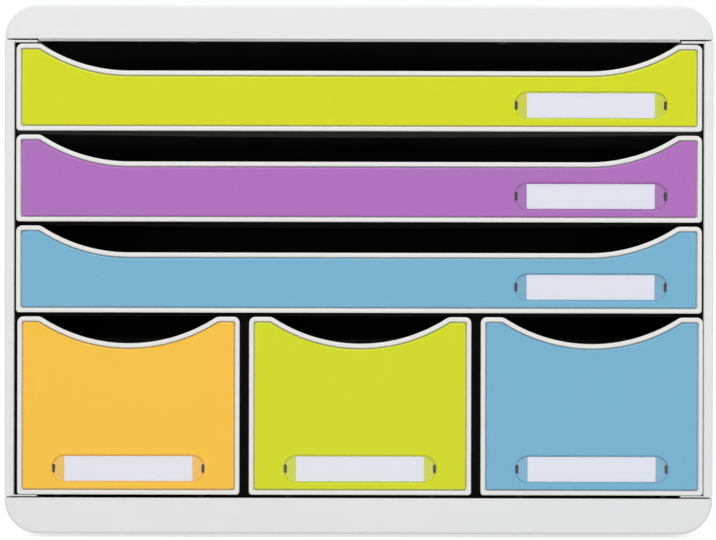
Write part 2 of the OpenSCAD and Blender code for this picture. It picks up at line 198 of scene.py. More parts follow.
def bake_modifiers(obj):
    """Turns what the modifiers make into the object's own mesh, and removes them."""
    graph = bpy.context.evaluated_depsgraph_get()
    made = bpy.data.meshes.new_from_object(obj.evaluated_get(graph), depsgraph=graph)
    obj.modifiers.clear()
    old, obj.data = obj.data, made
    bpy.data.meshes.remove(old)
    return obj


def combine(obj, others, operation):
    """Joins the others to obj, or cuts them out of it, and removes them."""
    for other in others:
        boolean = obj.modifiers.new(operation, "BOOLEAN")
        boolean.operation = operation
        boolean.solver = "MANIFOLD"
        boolean.object = other
    bake_modifiers(obj)
    for other in others:
        bpy.data.objects.remove(other)
    return obj


def block(name, low, high):
    """A plain box between two corners."""
    (x0, y0, z0), (x1, y1, z1) = low, high
    corners = [(x0, y0), (x1, y0), (x1, y1), (x0, y1)]
    return loft(name, [[(x, y, z) for x, y in corners] for z in (z0, z1)])


def cut_off(obj, low, high):
    """Takes away all that lies between two corners."""
    return combine(obj, [block("cutter", low, high)], "DIFFERENCE")


def bevelled(obj, width, from_angle=30):
    """Softens the edges where the shape turns by more than this many degrees."""
    bevel = obj.modifiers.new("soft edges", "BEVEL")
    bevel.width = width
    bevel.segments = BEVEL_STEPS
    bevel.limit_method = "ANGLE"
    bevel.angle_limit = radians(from_angle)
    return bake_modifiers(obj)


# %% Shading
SHARP_ANGLE = radians(38)
FLAT_ANGLE = radians(0.1)
WELD_DISTANCE = 0.002 * MM
LED_BY_AREA = 100


def shade(obj):
    """Smooth faces, sharp edges where the shape turns hard, and normals led by large faces."""
    bm = bmesh.new()
    bm.from_mesh(obj.data)
    bmesh.ops.remove_doubles(bm, verts=bm.verts, dist=WELD_DISTANCE)
    bmesh.ops.dissolve_limit(bm, angle_limit=FLAT_ANGLE, verts=bm.verts, edges=bm.edges)
    for face in bm.faces:
        face.smooth = True
    for edge in bm.edges:
        edge.smooth = edge.is_manifold and edge.calc_face_angle() < SHARP_ANGLE
    bm.to_mesh(obj.data)
    bm.free()
    weighted = obj.modifiers.new("large faces lead", "WEIGHTED_NORMAL")
    weighted.keep_sharp = True
    weighted.weight = LED_BY_AREA
    return bake_modifiers(obj)


def finish_piece(obj, body, nodes, material):
    """Shades a piece, paints it, hangs it on its body and hides the CAD nodes it stands for."""
    shade(obj)
    obj.data.materials.clear()
    obj.data.materials.append(material)
    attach(obj, body)
    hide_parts(*nodes)
    size = obj.dimensions * 1000
    print(f"{obj.name}: {len(obj.data.polygons)} faces, {size.x:.1f} x {size.y:.1f} x {size.z:.1f} mm")


# %% [markdown]
# ## Outlines
# Three outlines make the whole front: a rectangle with one radius below and another above,
# which also gives the covers their two large corners, the label's bar with round ends, and the
# drawer front with its finger notch. Each is a function of an inset and has equally many points
# at any inset, as a loft needs. The arcs are points on true circles, so a notch of radius 80 mm
# looks round close up.

# %% Arcs, rectangles and bars
ARC_STEPS = 10
END_STEPS = 36
TINY_R = 0.05 * MM


def arc(u, v, r, start, end, steps=ARC_STEPS):
    """Points on a circle about (u, v), between two angles in degrees."""
    angles = [radians(start + (end - start) * i / steps) for i in range(steps + 1)]
    return [(u + r * cos(a), v + r * sin(a)) for a in angles]


def circle(u, v, r, points):
    """Points on a whole circle, with none of them twice."""
    return arc(u, v, r, 0, 360 - 360 / points, points - 1)


def rectangle(u0, v0, u1, v1, r_low, r_high):
    """A rectangle's outline as a function of inset, with its own radius below and above."""
    def outline(inset):
        low, high = max(r_low - inset, TINY_R), max(r_high - inset, TINY_R)
        left, right, bottom, top = u0 + inset, u1 - inset, v0 + inset, v1 - inset
        return (
            arc(left + low, bottom + low, low, 180, 270) + arc(right - low, bottom + low, low, 270, 360)
            + arc(right - high, top - high, high, 0, 90) + arc(left + high, top - high, high, 90, 180)
        )
    return outline


def bar(u, v, length, height):
    """The outline of a bar with round ends about a centre, as a function of inset."""
    reach = (length - height) / 2

    def outline(inset):
        r = height / 2 - inset
        return arc(u + reach, v, r, -90, 90, END_STEPS) + arc(u - reach, v, r, 90, 270, END_STEPS)
    return outline


# %% The drawer front with its notch
NOTCH_STEPS = 40


def front_shape(x, z, width, height, level):
    """A drawer front's outline about x and up from z. level is half its notch's level part."""
    def outline(inset):
        half, top = width / 2 - inset, height - inset
        low_r, high_r = max(LOW_CORNER_R - inset, LEAST_R), max(TOP_CORNER_R - inset, LEAST_R)
        big_r, ear_r = NOTCH_R + inset, EAR_R - inset
        drop = big_r - NOTCH_DEPTH + ear_r
        ear_x = level + sqrt((big_r + ear_r) ** 2 - drop ** 2)
        lean = degrees(atan2(drop, ear_x - level))
        right = arc(half - low_r, inset + low_r, low_r, 270, 360)
        right += arc(half - high_r, top - high_r, high_r, 0, 90)
        right += arc(ear_x, top - ear_r, ear_r, 90, 180 - lean)
        right += arc(level, top - NOTCH_DEPTH + big_r, big_r, -lean, -90, NOTCH_STEPS)[1:]
        left = [(-u, v) for u, v in reversed(right)]
        points = right + (left if level > 0 else left[1:])
        return [(x + u, z + v) for u, v in points]
    return outline


# %% What each drawer's nodes say about it
def drawer_facts(name):
    low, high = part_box(name + "_front")
    back_low, back_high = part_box(name + "_tray")
    panel_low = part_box(name + "_panel")[0]
    window_low, window_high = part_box(name + "_window")
    width, height = high.x - low.x, high.z - low.z
    level = width / 2 - NOTCH_SHOULDER if name in WIDE else 0.0
    return {
        "x": (low.x + high.x) / 2, "z": low.z, "width": width, "height": height,
        "rim_y": low.y, "wall_y": low.y + RIM_D, "back_y": high.y, "rear_y": back_high.y,
        "tray_x0": back_low.x + TAB_OUT, "tray_x1": back_high.x - TAB_OUT,
        "wall_h": back_high.z - back_low.z - GUSSET_R, "panel_y": panel_low.y, "window_y": window_low.y,
        "label_x": (window_low.x + window_high.x) / 2, "label_z": (window_low.z + window_high.z) / 2,
        "shape": front_shape((low.x + high.x) / 2, low.z, width, height, level),
    }


facts = {name: drawer_facts(name) for name in WIDE + SMALL}
for name, f in facts.items():
    print(f"{name}: front {1000 * f['width']:.1f} x {1000 * f['height']:.1f} mm at z {1000 * f['z']:.1f}")

# %% [markdown]
# ## Lights, floor and camera
# The camera and the lights come early, so that every later piece can be looked at as soon as
# it is made. The photograph looks straight at the front from nearly two metres, which keeps
# all edges parallel, so a long lens at that distance gives the same picture. The light is
# plain: an even sky, a soft panel above the camera, which lays a bright line on every upper
# edge, a large one overhead, and a small one at each side for the upright edges. The sky
# lights the object with less than half of what the camera sees in it. So the background is
# white and the plastic still shows its own colour.

# %% The camera
front_y = cad_box[0][1]
PHOTO_W = 358.7 * MM
PHOTO_DISTANCE = 1.8
PHOTO_CENTRE = Vector((-0.47 * MM, front_y, 134.3 * MM))
PHOTO_ROLL = radians(0.12)
SENSOR_W = 36
FAR_AWAY = 50

camera_data = bpy.data.cameras.new("photo_camera")
camera_data.sensor_width = SENSOR_W
camera_data.lens = SENSOR_W * PHOTO_DISTANCE / PHOTO_W
camera_data.clip_end = FAR_AWAY
camera = bpy.data.objects.new("photo_camera", camera_data)
camera.matrix_world = (
    Matrix.Translation(PHOTO_CENTRE - Vector((0, PHOTO_DISTANCE, 0)))
    @ Matrix.Rotation(radians(90), 4, "X") @ Matrix.Rotation(PHOTO_ROLL, 4, "Z")
)
bpy.context.scene.collection.objects.link(camera)
bpy.context.scene.camera = camera
bpy.context.scene.view_settings.view_transform = "Standard"
print(f"camera: a lens of {camera_data.lens:.1f} mm at {PHOTO_DISTANCE} m")

# %% Soft light
SKY_LIGHT = 0.42
LAMPS = [  # name, place, what it points at, length of a side in metres, watts
    ("front_panel", (0, -1.5, 1.5), (0, 0, 0.13), 0.6, 15),
    ("top_panel", (0, -0.1, 1.9), (0, -0.101, 0.2), 1.1, 6),
    ("left_panel", (-1.1, -1.3, 0.2), (0, 0, 0.1), 0.3, 1.8),
    ("right_panel", (1.1, -1.3, 0.2), (0, 0, 0.1), 0.3, 1.8),
]


def soft_panel(name, place, aim, side, watts):
    light = bpy.data.lights.new(name, "AREA")
    light.shape = "SQUARE"
    light.size = side
    light.energy = watts
    obj = bpy.data.objects.new(name, light)
    turn = (Vector(aim) - Vector(place)).to_track_quat("-Z", "Y")
    obj.matrix_world = Matrix.Translation(place) @ turn.to_matrix().to_4x4()
    bpy.context.scene.collection.objects.link(obj)


for lamp in LAMPS:
    soft_panel(*lamp)
print("lamps:", [lamp[0] for lamp in LAMPS])


def seen_ray(nodes, links):
    """1 for a ray from the camera, or from what mirrors or shows the background, and 0 for light."""
    path = nodes.new("ShaderNodeLightPath")
    total = path.outputs["Is Camera Ray"]
    for ray in ("Is Glossy Ray", "Is Transmission Ray"):
        larger = nodes.new("ShaderNodeMath")
        larger.operation = "MAXIMUM"
        links.new(total, larger.inputs[0])
        links.new(path.outputs[ray], larger.inputs[1])
        total = larger.outputs[0]
    return total


def between(nodes, links, factor, low, high):
    """A number that goes from low to high as the factor goes from 0 to 1."""
    span = nodes.new("ShaderNodeMapRange")
    span.inputs["To Min"].default_value = low
    span.inputs["To Max"].default_value = high
    links.new(factor, span.inputs["Value"])
    return span.outputs["Result"]


world = bpy.data.worlds.new("plain_sky")
bpy.context.scene.world = world
world.use_nodes = True
sky_nodes, sky_links = world.node_tree.nodes, world.node_tree.links
background = sky_nodes["Background"]
background.inputs["Color"].default_value = (1, 1, 1, 1)
sky = between(sky_nodes, sky_links, seen_ray(sky_nodes, sky_links), SKY_LIGHT, 1)
sky_links.new(sky, background.inputs["Strength"])

# %% [markdown]
# The floor is a pale sheet that keeps the object's shadow. Where it is seen, also mirrored or
# through clear plastic, it glows as well, so that far from the object it is as white as the
# background and no edge shows. The glow lights nothing.

# %% The floor
FLOOR_HALF = 6
FLOOR_PALE = 0.85
FLOOR_GLOW = 0.7

floor_material = bpy.data.materials.new("pale_floor")
floor_material.use_nodes = True
nodes, links = floor_material.node_tree.nodes, floor_material.node_tree.links
shader = nodes["Principled BSDF"]
shader.inputs["Base Color"].default_value = (FLOOR_PALE, FLOOR_PALE, FLOOR_PALE, 1)
shader.inputs["Roughness"].default_value = 0.9
shader.inputs["Specular IOR Level"].default_value = 0
shader.inputs["Emission Color"].default_value = (1, 1, 1, 1)
glow = between(nodes, links, seen_ray(nodes, links), 0, FLOOR_GLOW)
links.new(glow, shader.inputs["Emission Strength"])

floor_corners = [(x * FLOOR_HALF, y * FLOOR_HALF, 0) for x, y in ((-1, -1), (1, -1), (1, 1), (-1, 1))]
floor = mesh_object("floor", floor_corners, [(0, 1, 2, 3)])
floor.data.materials.append(floor_material)

# %% [markdown]
# ## Materials
# All the parts are moulded plastic. What tells one plastic from another close up is its skin:
# the casing's tool was spark-eroded, which leaves a fine satin grain, the coloured panels come
# from a polished tool and shine, and the black inside is between the two. The pieces deep
# inside get a second black, darker and matt: it is painted shade, a shaded copy of the same
# black that stands in for the shade falling there. One function makes all of these from a
# colour, a gloss and a grain. The grain is a noise of a fraction of a millimetre in Object
# coordinates, and it moves both the surface and its gloss. A second, slow noise changes the
# colour by a percent or two, as the flow of the melt does.

# %% Moulded plastic
def srgb(red, green, blue):
    """A colour as read off a screen, from 0 to 255, in the linear values that shaders use."""
    values = [v / 255 for v in (red, green, blue)]
    return tuple(v / 12.92 if v <= 0.04045 else ((v + 0.055) / 1.055) ** 2.4 for v in values) + (1.0,)


def start_material(name):
    material = bpy.data.materials.new(name)
    material.use_nodes = True
    nodes, links = material.node_tree.nodes, material.node_tree.links
    return material, nodes, links, nodes["Principled BSDF"]


def noise(nodes, links, size, detail=2.0, stretch=(1, 1, 1)):
    """A noise with grains of about this size in metres, in Object coordinates."""
    place = nodes.new("ShaderNodeTexCoord")
    mapping = nodes.new("ShaderNodeMapping")
    mapping.inputs["Scale"].default_value = [s / size for s in stretch]
    texture = nodes.new("ShaderNodeTexNoise")
    texture.inputs["Scale"].default_value = 1
    texture.inputs["Detail"].default_value = detail
    links.new(place.outputs["Object"], mapping.inputs["Vector"])
    links.new(mapping.outputs["Vector"], texture.inputs["Vector"])
    return texture.outputs["Fac"]


def tinted(nodes, links, factor, colour, change):
    """A colour that gets darker and lighter by the share given as the factor goes from 0 to 1."""
    ramp = nodes.new("ShaderNodeValToRGB")
    dark, light = ramp.color_ramp.elements
    dark.color = [c * (1 - change) for c in colour[:3]] + [1]
    light.color = [min(c * (1 + change), 1) for c in colour[:3]] + [1]
    links.new(factor, ramp.inputs["Fac"])
    return ramp.outputs["Color"]


def roughened(nodes, links, shader, height, depth):
    """Bumps a surface by a number from 0 to 1, to this depth in metres."""
    bump = nodes.new("ShaderNodeBump")
    bump.inputs["Distance"].default_value = depth
    links.new(height, bump.inputs["Height"])
    links.new(bump.outputs["Normal"], shader.inputs["Normal"])


FLOW_SIZE = 60 * MM


def plastic(name, colour, rough, grain_size, grain_depth, rough_change=0.05, colour_change=0.015, mirror=0.5):
    """Moulded plastic. The grain's size and depth are in metres, and mirror is how strongly it shines."""
    material, nodes, links, shader = start_material(name)
    shader.inputs["Specular IOR Level"].default_value = mirror
    grain = noise(nodes, links, grain_size)
    flow = noise(nodes, links, FLOW_SIZE, 3)
    links.new(tinted(nodes, links, flow, colour, colour_change), shader.inputs["Base Color"])
    roughness = between(nodes, links, grain, rough - rough_change, rough + rough_change)
    links.new(roughness, shader.inputs["Roughness"])
    roughened(nodes, links, shader, grain, grain_depth)
    return material


casing_plastic = plastic("satin_grey_casing", srgb(228, 230, 231), 0.5, 0.35 * MM, 0.009 * MM)
drawer_plastic = plastic("smooth_grey_drawer", srgb(231, 231, 228), 0.38, 0.4 * MM, 0.001 * MM)
black_plastic = plastic("half_gloss_black", srgb(27, 27, 28), 0.36, 0.5 * MM, 0.002 * MM,
                        rough_change=0.06, colour_change=0.1, mirror=0.15)
# painted shade: a darker, duller copy of the half-gloss black for the pieces deep inside, standing in for the
# shade there
painted_shade_black = plastic("matt_black_painted_shade", srgb(12, 12, 13), 0.6, 0.5 * MM, 0.004 * MM,
                     colour_change=0.1, mirror=0.03)
foot_rubber = plastic("matt_foot_rubber", srgb(58, 58, 60), 0.85, 0.3 * MM, 0.02 * MM, colour_change=0.08)
PANEL_COLOURS = {"green": srgb(211, 218, 8), "purple": srgb(173, 107, 186),
                 "blue": srgb(116, 177, 208), "orange": srgb(248, 195, 60)}
COLOUR_OF = dict(zip(WIDE + SMALL, ["green", "purple", "blue", "orange", "green", "blue"]))
panel_plastics = {
    word: plastic(f"gloss_{word}_panel", colour, 0.27, 0.8 * MM, 0.0004 * MM,
                  rough_change=0.015, colour_change=0.01, mirror=0.4)
    for word, colour in PANEL_COLOURS.items()
}
print("panel plastics:", sorted(panel_plastics))

# %% [markdown]
# The label window is clear polystyrene. Glass in a path tracer would hide the card from the
# lamps, so the window lets light straight through, takes a little of it on the way, and
# mirrors by Fresnel. The label card is plain paper: a pale colour with long fine fibres.

# %% Window and card
MIRROR_HEAD_ON, FRESNEL_POWER = 0.04, 5
POLISH_SIZE, POLISH_RANGE = 4 * MM, (0.06, 0.12)
FIBRE_SIZE, FIBRE_DEPTH, FIBRE_STRETCH = 0.5 * MM, 0.01 * MM, (0.25, 1, 1)


def clear_plastic(name, passes):
    material, nodes, links, shader = start_material(name)
    through = nodes.new("ShaderNodeBsdfTransparent")
    through.inputs["Color"].default_value = (*passes, 1)
    shader.inputs["Base Color"].default_value = (0, 0, 0, 1)
    polish = between(nodes, links, noise(nodes, links, POLISH_SIZE), *POLISH_RANGE)
    links.new(polish, shader.inputs["Roughness"])
    facing = nodes.new("ShaderNodeLayerWeight")
    grazing = nodes.new("ShaderNodeMath")
    grazing.operation = "POWER"
    grazing.inputs[1].default_value = FRESNEL_POWER
    links.new(facing.outputs["Facing"], grazing.inputs[0])
    mirror = between(nodes, links, grazing.outputs[0], MIRROR_HEAD_ON, 1)
    shine = nodes.new("ShaderNodeBsdfGlossy")
    links.new(polish, shine.inputs["Roughness"])
    mix = nodes.new("ShaderNodeMixShader")
    links.new(mirror, mix.inputs["Fac"])
    links.new(through.outputs["BSDF"], mix.inputs[1])
    links.new(shine.outputs["BSDF"], mix.inputs[2])
    links.new(mix.outputs["Shader"], nodes["Material Output"].inputs["Surface"])
    nodes.remove(shader)
    return material


def card_paper(name, colour):
    material, nodes, links, shader = start_material(name)
    fibres = noise(nodes, links, FIBRE_SIZE, 4, FIBRE_STRETCH)
    links.new(tinted(nodes, links, fibres, colour, 0.03), shader.inputs["Base Color"])
    shader.inputs["Roughness"].default_value = 0.9
    shader.inputs["Specular IOR Level"].default_value = 0.2
    roughened(nodes, links, shader, fibres, FIBRE_DEPTH)
    return material


window_plastic = clear_plastic("clear_window", (0.985, 0.987, 0.99))
label_paper = card_paper("label_card", srgb(239, 240, 250))

# %% [markdown]
# ## The casing
# The casing is four mouldings that hook together: a cover above, a base below and a panel on
# each side. Each cover is an open box with two large round corners, stiffened inside by ribs.
# I draw its section somewhat too tall, give it depth with softened edges, cut it off level on
# the open side, cut the hollow out, and add the ribs. The ribs repeat at an even pitch, so they
# are a job for Geometry Nodes. A low slanted lip hangs under the top cover's front wall: it is
# the darker strip above the drawers in the photograph.

# %% Geometry Nodes that are run once and kept as a mesh
def start_tree(name, sockets):
    """A tree with a geometry input, the named inputs given, and its output."""
    tree = bpy.data.node_groups.new(name, "GeometryNodeTree")
    tree.interface.new_socket("Geometry", in_out="INPUT", socket_type="NodeSocketGeometry")
    for socket, kind in sockets.items():
        tree.interface.new_socket(socket, in_out="INPUT", socket_type="NodeSocket" + kind)
    tree.interface.new_socket("Geometry", in_out="OUTPUT", socket_type="NodeSocketGeometry")
    start, end = tree.nodes.new("NodeGroupInput"), tree.nodes.new("NodeGroupOutput")

    def add(kind, inputs=None, **settings):
        node = tree.nodes.new(kind)
        for key, value in settings.items():
            setattr(node, key, value)
        for socket, value in (inputs or {}).items():
            if isinstance(value, bpy.types.NodeSocket):
                tree.links.new(value, node.inputs[socket])
            else:
                node.inputs[socket].default_value = value
        return node

    def close(geometry):
        real = add("GeometryNodeRealizeInstances", {"Geometry": geometry}).outputs["Geometry"]
        painted = add("GeometryNodeSetMaterial", {"Geometry": real, "Material": start.outputs["Material"]})
        tree.links.new(painted.outputs["Geometry"], end.inputs["Geometry"])
        return tree
    return start, add, close


def grow(obj, tree, values):
    """Runs a tree on an object, its named inputs set by their identifiers, and keeps the mesh."""
    modifier = obj.modifiers.new(tree.name, "NODES")
    modifier.node_group = tree
    for item in tree.interface.items_tree:
        if item.in_out == "INPUT" and item.name in values:
            modifier[item.identifier] = values[item.name]
    bake_modifiers(obj)
    face_outwards(obj.data)
    return obj


# %% Ribs inside a cover
start, add, close = start_tree("cover_ribs", {
    "Count": "Int", "First": "Vector", "Pitch": "Float", "Size": "Vector", "Material": "Material"})
step = add("ShaderNodeCombineXYZ", {"X": start.outputs["Pitch"]})
row = add("GeometryNodeMeshLine", {
    "Count": start.outputs["Count"], "Start Location": start.outputs["First"], "Offset": step.outputs[0]})
rib = add("GeometryNodeMeshCube", {"Size": start.outputs["Size"]})
ribs = add("GeometryNodeInstanceOnPoints", {"Points": row.outputs["Mesh"], "Instance": rib.outputs["Mesh"]})
cover_ribs_tree = close(ribs.outputs["Instances"])

# %% Covers
half_w, rear_y = cad_box[1][:2]
cover_z, case_top = (corner.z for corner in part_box("top_cover"))
base_z, deck_z = (corner.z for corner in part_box("base_cover"))
deck_low, deck_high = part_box("top_deck")
deck_t = deck_high.z - cover_z
COVER_EDGE_R, INNER_EDGE_R = 1.5 * MM, 1 * MM
OPEN_EDGE_R, OPEN_EDGE_ANGLE = 0.25 * MM, 60
LIP_HALF, LIP_SET, LIP_DROP = 160.8 * MM, 0.4 * MM, 1.2 * MM
LIP_FOOT_W, LIP_ROOT = 0.2 * MM, 1 * MM


def cover(name, round_z, open_z, rib_z):
    """A cover from its large corners to its open side, hollow, with ribs that end at rib_z."""
    out = 1 if open_z > round_z else -1
    spare, depth = 4 * COVER_EDGE_R, rear_y - front_y

    def section(half, at_round, at_open, round_r, open_r):
        if out > 0:
            return rectangle(-half, at_round, half, at_open, round_r, open_r)
        return rectangle(-half, at_open, half, at_round, open_r, round_r)

    outer = section(half_w, round_z, open_z + out * spare, CORNER_R, COVER_EDGE_R)
    shell = plate(name, outer, facing_front(front_y), depth, COVER_EDGE_R, COVER_EDGE_R)
    z0, z1 = sorted((open_z, open_z + 5 * out * spare))
    cut_off(shell, (-half_w - spare, front_y - spare, z0), (half_w + spare, rear_y + spare, z1))
    inner = section(half_w - SHELL_T, round_z + out * SHELL_T, open_z + 5 * out * PAST,
                    CORNER_R - SHELL_T, INNER_EDGE_R)
    hollow = plate("hollow", inner, facing_front(front_y + SHELL_T), depth - 2 * SHELL_T,
                   INNER_EDGE_R, INNER_EDGE_R)
    bevelled(combine(shell, [hollow], "DIFFERENCE"), OPEN_EDGE_R, OPEN_EDGE_ANGLE)
    rib_low, rib_high = sorted((round_z + out * SHELL_T - out * HAIR, rib_z))
    pitch = (2 * half_w - 2 * CORNER_R) / (COVER_RIBS + 1)
    ribs = grow(mesh_object("ribs", []), cover_ribs_tree, {
        "Count": COVER_RIBS, "Pitch": pitch, "Material": casing_plastic,
        "First": (-half_w + CORNER_R + pitch, (front_y + rear_y) / 2, (rib_low + rib_high) / 2),
        "Size": (SHELL_T, depth - 2 * SHELL_T + 2 * HAIR, rib_high - rib_low),
    })
    return combine(shell, [ribs], "UNION")


cover_low = cover_z + PANEL_RISE + PARTING_GAP
top_cover = cover("top_cover_moulding", case_top, cover_low, deck_high.z)
lip_y0, lip_y1 = front_y + LIP_SET, front_y + SHELL_T - HAIR
lip_foot, lip_root = cover_low - LIP_DROP, cover_low + LIP_ROOT
lip_side = [(lip_y0, lip_root), (lip_y0, cover_low), (lip_y1 - LIP_FOOT_W, lip_foot), (lip_y1, lip_foot),
            (lip_y1, lip_root)]
lip = loft("lip", [[(x, y, z) for y, z in lip_side] for x in (-LIP_HALF, LIP_HALF)])
combine(top_cover, [lip], "UNION")
finish_piece(top_cover, CASING, ["top_cover"], casing_plastic)
base_cover = cover("base_cover_moulding", base_z, deck_z, deck_z - deck_t)

# %% [markdown]
# The base cover has a shallow round recess for each rubber foot. The foot is a turned shape
# with a soft lower edge. There are four, so a tree sets one foot on four points.

# %% Recesses and rubber feet
FOOT_NODES = ["front_left_foot", "front_right_foot", "rear_left_foot", "rear_right_foot"]
TURNED_POINTS = 64
FOOT_EDGE_R, FOOT_EDGE_STEPS = 0.7 * MM, 6
DISH_DEPTH, DISH_IN, RING_IN = 0.15 * MM, 3 * MM, 2 * MM


def turned(name, x, y, steps):
    """A shape turned about an upright axis through x and y. steps are pairs of radius and height."""
    return loft(name, [[(u, v, z) for u, v in circle(x, y, r, TURNED_POINTS)] for r, z in steps])


def foot_place(node):
    low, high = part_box(node)
    return (low + high) / 2, (high.x - low.x) / 2, low.z, high.z


recesses = []
for node in FOOT_NODES:
    place, foot_r, foot_low, foot_high = foot_place(node)
    recesses.append(turned("recess", place.x, place.y, [(foot_r, foot_low - PAST), (foot_r, foot_high)]))
combine(base_cover, recesses, "DIFFERENCE")
finish_piece(base_cover, CASING, ["base_cover"], casing_plastic)

# The four feet are alike, so the sizes of the last one serve for all.
foot_steps = [(foot_r - DISH_IN, foot_low + DISH_DEPTH), (foot_r - RING_IN, foot_low)]
foot_steps += [(foot_r - FOOT_EDGE_R * (1 - sin(a)), foot_low + FOOT_EDGE_R * (1 - cos(a)))
               for a in turns(FOOT_EDGE_R, FOOT_EDGE_STEPS)]
foot_steps += [(foot_r, foot_high)]
one_foot = turned("one_foot", 0, 0, foot_steps)

start, add, close = start_tree("feet_on_points", {"Foot": "Object", "Material": "Material"})
one = add("GeometryNodeObjectInfo", {"Object": start.outputs["Foot"]})
four = add("GeometryNodeInstanceOnPoints", {
    "Points": start.outputs["Geometry"], "Instance": one.outputs["Geometry"]})
feet_tree = close(four.outputs["Instances"])

feet = mesh_object("rubber_feet", [(*foot_place(node)[0].xy, 0) for node in FOOT_NODES])
grow(feet, feet_tree, {"Foot": one_foot, "Material": foot_rubber})
bpy.data.objects.remove(one_foot)
finish_piece(feet, CASING, FOOT_NODES, foot_rubber)

# %% [markdown]
# A side panel is a flat skin with a deep edge all round. Seen from the front, only that edge
# shows: five millimetres wide, with a soft corner on each side. Thin flanges turn in from it,
# one over the drawers and one under them. The lower one is thinner in front of the liner, where
# it shows. A gap of three quarters of a millimetre parts the panel from each cover, because two
# mouldings never meet without one, and the photograph shows it as a dark line.

# %% Side panels
PANEL_EDGE_R, SIDE_POCKET_R = 0.7 * MM, 2 * MM
FLANGE_SET, FLANGE_ROOT, FRONT_FLANGE_T = 1 * MM, 2 * MM, 0.55 * MM
liner_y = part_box("left_liner")[0].y
front_flange_end, rear_flange_start = liner_y - 0.2 * MM, liner_y - 0.7 * MM


def side_panel(node, side):
    """The panel on one side, -1 for the left: an edge, a pocket that leaves the skin, and flanges."""
    low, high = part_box(node)
    outer_x = side * half_w
    inner_x = low.x + FLANGE_L if side > 0 else high.x - FLANGE_L
    width = abs(outer_x - inner_x)
    z0, z1 = low.z + PARTING_GAP, high.z + PANEL_RISE
    outline = rectangle(front_y, z0, rear_y, z1, PLATE_CORNER_R, PLATE_CORNER_R)
    body = plate(node + "_moulding", outline, facing_side(outer_x, side), width, PANEL_EDGE_R, PANEL_EDGE_R)
    outline = rectangle(front_y + SIDE_EDGE, low.z + SIDE_EDGE, rear_y - SIDE_EDGE, high.z - SIDE_EDGE,
                        SIDE_POCKET_R, SIDE_POCKET_R)
    pocket = plate("pocket", outline, facing_side(outer_x - side * SIDE_SKIN, side), width, 0, 0)
    combine(body, [pocket], "DIFFERENCE")
    x0, x1 = sorted((inner_x - side * FLANGE_L, inner_x + side * FLANGE_ROOT))
    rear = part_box("back_panel")[0].y
    flanges = []
    for start_y, end_y, top, thick in (
        (front_y + FLANGE_SET, rear, z1, FLANGE_T + HAIR),
        (front_y + FLANGE_SET, front_flange_end, z0 + FRONT_FLANGE_T, FRONT_FLANGE_T),
        (rear_flange_start, rear, low.z + FLANGE_T, FLANGE_T - HAIR),
    ):
        shape = rectangle(x0, start_y, x1, end_y, PLATE_CORNER_R, PLATE_CORNER_R)
        flanges.append(plate("flange", shape, facing_up(top), thick, FINE_EDGE_R, FINE_EDGE_R))
    combine(body, flanges, "UNION")
    finish_piece(body, CASING, [node], casing_plastic)


side_panel("left_side_panel", -1)
side_panel("right_side_panel", 1)

# %% [markdown]
# The back closes the casing. It is a thin plate, and ribs stiffen it where the dividers and
# the shelves end. A rib is a bar along a line, so the tree takes the lines as loose edges and
# sweeps a soft square section along each.

# %% Back panel
RIB_R, RIB_EDGE_STEPS = 0.5 * MM, 3
start, add, close = start_tree("bars_on_lines", {
    "Width": "Float", "Edge radius": "Float", "Material": "Material"})
lines = add("GeometryNodeMeshToCurve", {"Mesh": start.outputs["Geometry"]})
square = add("GeometryNodeCurvePrimitiveQuadrilateral", {
    "Width": start.outputs["Width"], "Height": start.outputs["Width"]})
section = add("GeometryNodeFilletCurve", {
    "Curve": square.outputs["Curve"], "Radius": start.outputs["Edge radius"], "Count": RIB_EDGE_STEPS,
}, mode="POLY")
swept = add("GeometryNodeCurveToMesh", {
    "Curve": lines.outputs["Curve"], "Profile Curve": section.outputs["Curve"], "Fill Caps": True})
bars_tree = close(swept.outputs["Mesh"])


def bars(name, lines, middle_y, width):
    """Bars along lines, each given by the ends of its middle line as X and Z."""
    points = [(x, middle_y, z) for line in lines for x, z in line]
    guide = mesh_object(name, points, edges=[(i, i + 1) for i in range(0, len(points), 2)])
    return grow(guide, bars_tree, {"Width": width, "Edge radius": RIB_R, "Material": black_plastic})


back_low, back_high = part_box("back_panel")
BACK_T, BACK_EDGE_R = 2 * MM, 0.3 * MM
RIB_SET, LEVEL_DROP = 0.3 * MM, 0.5 * MM
outline = rectangle(back_low.x, back_low.z, back_high.x, back_high.z + PANEL_RISE,
                    PLATE_CORNER_R, PLATE_CORNER_R)
back = plate("back_panel_ribbed", outline, facing_front(back_low.y), BACK_T, FINE_EDGE_R, BACK_EDGE_R)
rib_sink = RIB_R + 0.1 * MM
rib_w = back_high.y - back_low.y - BACK_T + rib_sink
rib_y = back_low.y + BACK_T - rib_sink + rib_w / 2
inset = rib_w / 2 + RIB_SET
divider_middles = [(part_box(n)[0].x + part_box(n)[1].x) / 2 for n in ("left_divider", "right_divider")]
upright_xs = [back_low.x + inset, *divider_middles, back_high.x - inset]
level_zs = [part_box(n)[1].z - LEVEL_DROP for n in ("upper_shelf", "middle_shelf", "lower_shelf")]
uprights = [((x, back_low.z + RIB_SET), (x, back_high.z - RIB_SET)) for x in upright_xs]
levels = [((back_low.x + inset, z), (back_high.x - inset, z)) for z in level_zs]
upright_ribs = bars("upright_ribs", uprights, rib_y, rib_w)
level_ribs = bars("level_ribs", levels, rib_y, rib_w)
combine(back, [upright_ribs, level_ribs], "UNION")
finish_piece(back, CASING, ["back_panel"], black_plastic)

# %% [markdown]
# The top deck is a black plate inside the top cover. Two half-round lugs hang from its front
# edge, at uneven places, and show below the cover as two small dark shapes with a thin light
# along their round edge. So the lugs need a soft edge that a plain cut plate doesn't have. Each
# is the lower part of a disc, rooted in the plate.

